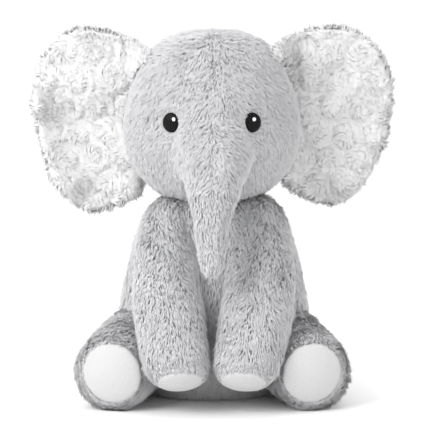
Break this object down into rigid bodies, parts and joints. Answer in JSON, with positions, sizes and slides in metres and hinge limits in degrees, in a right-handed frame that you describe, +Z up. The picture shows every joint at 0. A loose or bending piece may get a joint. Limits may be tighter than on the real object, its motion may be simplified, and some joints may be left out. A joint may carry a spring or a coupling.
{
  "type": "stuffed elephant",
  "caption": "Seated plush elephant with broad swirl-plush ears, a hanging trunk, limbs that swing at the shoulders and hips, and smooth white hand and foot pads.",
  "frame": {"origin": "on the floor plane, on the flat seat, under the neck and between the hips", "axes": "+Z up, -Y the way the elephant faces, +X its own left"},
  "size_m": [0.2802, 0.2384, 0.29],
  "materials": {
    "grey_plush": "matte long pile",
    "white_swirl_plush": "matte swirled pile",
    "white_pad_plush": "matte short pile",
    "black_thread": "satin",
    "white_thread": "satin",
    "fibre_fill": "matte"
  },
  "bodies": {
    "torso": {"torso_front_panel": "grey_plush", "torso_back_panel": "grey_plush", "seat_panel": "grey_plush", "torso_stuffing": "fibre_fill"},
    "neck": {"neck_stuffing": "fibre_fill"},
    "head": {"head_panel_left": "grey_plush", "head_panel_right": "grey_plush", "head_stuffing": "fibre_fill", "eye_left": "black_thread", "eye_right": "black_thread", "eye_glint_left": "white_thread", "eye_glint_right": "white_thread"},
    "trunk_upper": {"trunk_upper_skin": "grey_plush", "trunk_upper_stuffing": "fibre_fill"},
    "trunk_lower": {"trunk_lower_skin": "grey_plush", "trunk_lower_stuffing": "fibre_fill"},
    "tail": {"tail_skin": "grey_plush", "tail_tuft": "grey_plush"},
    "ear_left": {"ear_front_left": "white_swirl_plush", "ear_back_left": "grey_plush"},
    "arm_left": {"arm_skin_left": "grey_plush", "arm_stuffing_left": "fibre_fill", "hand_pad_left": "white_pad_plush"},
    "leg_left": {"leg_skin_left": "grey_plush", "leg_stuffing_left": "fibre_fill", "foot_pad_left": "white_pad_plush"},
    "ear_right": {"ear_front_right": "white_swirl_plush", "ear_back_right": "grey_plush"},
    "arm_right": {"arm_skin_right": "grey_plush", "arm_stuffing_right": "fibre_fill", "hand_pad_right": "white_pad_plush"},
    "leg_right": {"leg_skin_right": "grey_plush", "leg_stuffing_right": "fibre_fill", "foot_pad_right": "white_pad_plush"}
  },
  "joints": [
    {"name": "head_turn", "type": "hinge", "parent": "torso", "child": "neck", "pos_m": [0, 0.012, 0.155], "axis": [0, 0, 1], "range_deg": [-10, 10]},
    {"name": "head_nod", "type": "hinge", "parent": "neck", "child": "head", "pos_m": [0, 0.012, 0.155], "axis": [1, 0, 0], "range_deg": [-10, 8]},
    {"name": "trunk_lift", "type": "hinge", "parent": "head", "child": "trunk_upper", "pos_m": [0, -0.07, 0.186], "axis": [-1, 0, 0], "range_deg": [-4, 32]},
    {"name": "trunk_curl", "type": "hinge", "parent": "trunk_upper", "child": "trunk_lower", "pos_m": [0, -0.085, 0.147], "axis": [-1, 0, 0], "range_deg": [-20, 25]},
    {"name": "ear_flap_left", "type": "hinge", "parent": "head", "child": "ear_left", "pos_m": [0.065, 0.02, 0.23], "axis": [0, 0, -1], "range_deg": [-30, 35]},
    {"name": "ear_flap_right", "type": "hinge", "parent": "head", "child": "ear_right", "pos_m": [-0.065, 0.02, 0.23], "axis": [0, 0, 1], "range_deg": [-30, 35]},
    {"name": "arm_raise_left", "type": "hinge", "parent": "torso", "child": "arm_left", "pos_m": [0.0365, -0.004, 0.1405], "axis": [-0.9338, -0.141, 0.3289], "range_deg": [0, 60]},
    {"name": "arm_raise_right", "type": "hinge", "parent": "torso", "child": "arm_right", "pos_m": [-0.0365, -0.004, 0.1405], "axis": [-0.9338, 0.141, -0.3289], "range_deg": [0, 60]},
    {"name": "leg_raise_left", "type": "hinge", "parent": "torso", "child": "leg_left", "pos_m": [0.06, 0.015, 0.0365], "axis": [-0.9781, 0, 0.208], "range_deg": [-10, 8]},
    {"name": "leg_raise_right", "type": "hinge", "parent": "torso", "child": "leg_right", "pos_m": [-0.06, 0.015, 0.0365], "axis": [-0.9781, 0, -0.208], "range_deg": [-10, 8]},
    {"name": "tail_wag", "type": "hinge", "parent": "torso", "child": "tail", "pos_m": [0, 0.119, 0.05], "axis": [0, 1, 0], "range_deg": [-35, 35]}
  ]
}
